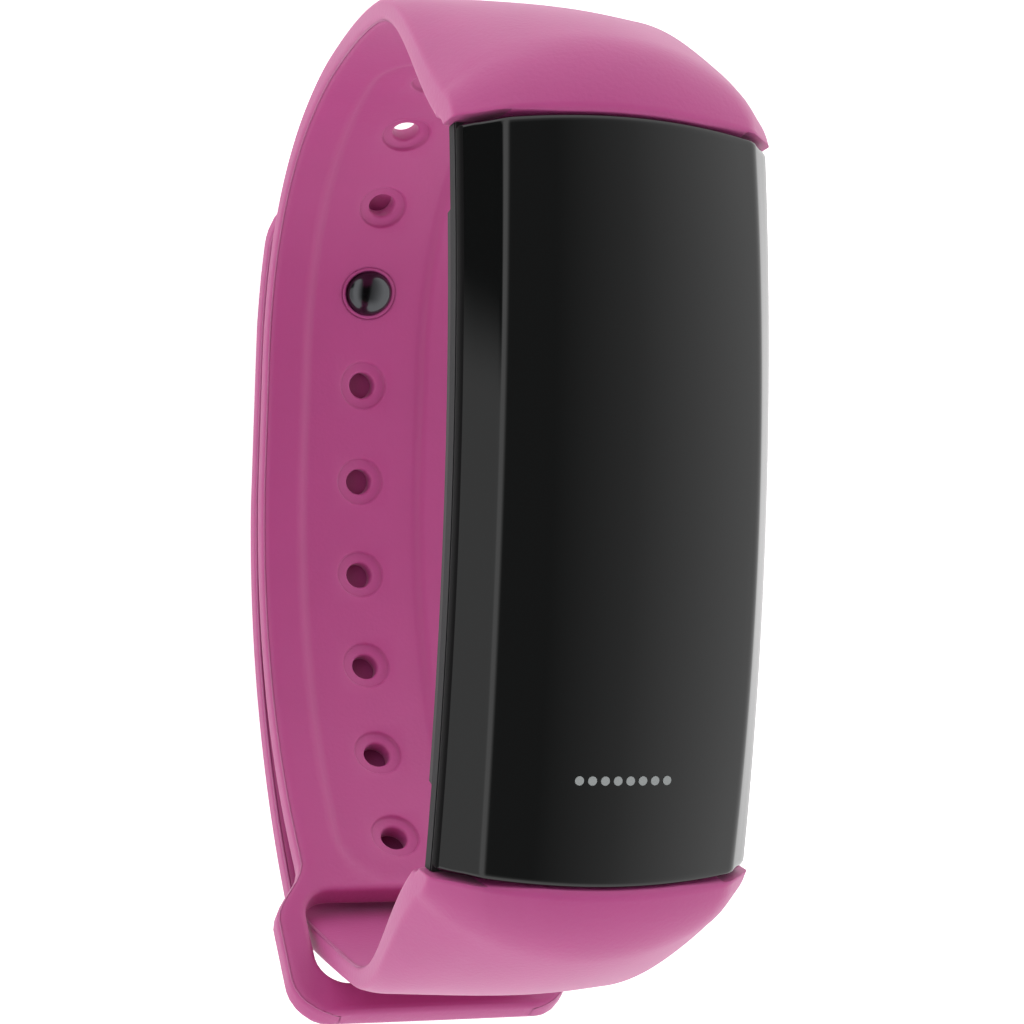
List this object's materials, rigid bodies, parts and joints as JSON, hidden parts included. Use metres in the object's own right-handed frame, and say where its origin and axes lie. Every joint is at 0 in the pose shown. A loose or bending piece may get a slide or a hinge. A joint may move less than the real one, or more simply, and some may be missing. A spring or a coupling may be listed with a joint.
{
  "type": "fitness tracker band",
  "caption": "Slim fitness tracker band: arched black module with a touch key on a soft strap that closes round the wrist with a ring and a metal stud in a row of holes.",
  "frame": {"origin": "middle of the short flat on the outer face of the tail, on which the closed band rests", "axes": "+Z out of the display, X across the strap, Y along the module with the touch key toward -Y"},
  "size_m": [0.0208, 0.0687, 0.0539],
  "materials": {
    "strap_silicone": "matte moulded silicone",
    "stud_steel": "dark polished",
    "lens_black": "gloss",
    "case_plastic": "fine matte",
    "gasket_rubber": "matte",
    "dot_print": "printed",
    "window_plastic": "gloss",
    "pin_steel": "ground",
    "motor_steel": "drawn",
    "rotor_metal": "sintered",
    "battery_foil": "satin foil",
    "board_laminate": "solder mask",
    "chip_resin": "moulded",
    "led_resin": "clear",
    "contact_gold": "plated",
    "display_panel": "gloss",
    "flex_film": "film",
    "antenna_brass": "plated"
  },
  "bodies": {
    "band": {"antenna": "antenna_brass", "battery": "battery_foil", "case_bottom": "case_plastic", "charge_contact_1": "contact_gold", "charge_contact_2": "contact_gold", "circuit_board": "board_laminate", "cross_pin_lower": "pin_steel", "cross_pin_upper": "pin_steel", "display": "display_panel", "display_flex": "flex_film", "frame": "case_plastic", "latch_lip": "strap_silicone", "led_1": "led_resin", "led_2": "led_resin", "lens": "lens_black", "lens_gasket": "gasket_rubber", "lower_strap": "strap_silicone", "memory": "chip_resin", "motion_sensor": "chip_resin", "motor_can": "motor_steel", "motor_plate": "motor_steel", "motor_shaft": "motor_steel", "photodiode": "chip_resin", "processor": "chip_resin", "radio": "chip_resin", "sensor_board": "board_laminate", "sensor_window": "window_plastic", "touch_dot_1": "dot_print", "touch_dot_2": "dot_print", "touch_dot_3": "dot_print", "touch_dot_4": "dot_print", "touch_dot_5": "dot_print", "touch_dot_6": "dot_print", "touch_dot_7": "dot_print", "touch_dot_8": "dot_print", "touch_pad": "flex_film", "upper_strap": "strap_silicone"},
    "tail": {"strap_tail": "strap_silicone", "stud": "stud_steel", "stud_cap": "stud_steel"},
    "rotor": {"motor_rotor": "rotor_metal"}
  },
  "joints": [
    {"name": "tail_peel", "type": "hinge", "parent": "band", "child": "tail", "pos_m": [0, -0.03566, 0.01188], "axis": [-1, 0, 0], "range_deg": [0, 60], "stiffness_Nm_per_rad": 0.01, "deforming": ["latch_lip"]},
    {"name": "motor_spin", "type": "hinge", "parent": "band", "child": "rotor", "pos_m": [0, 0.00425, 0.04569], "axis": [0, 0, 1], "continuous": true}
  ]
}
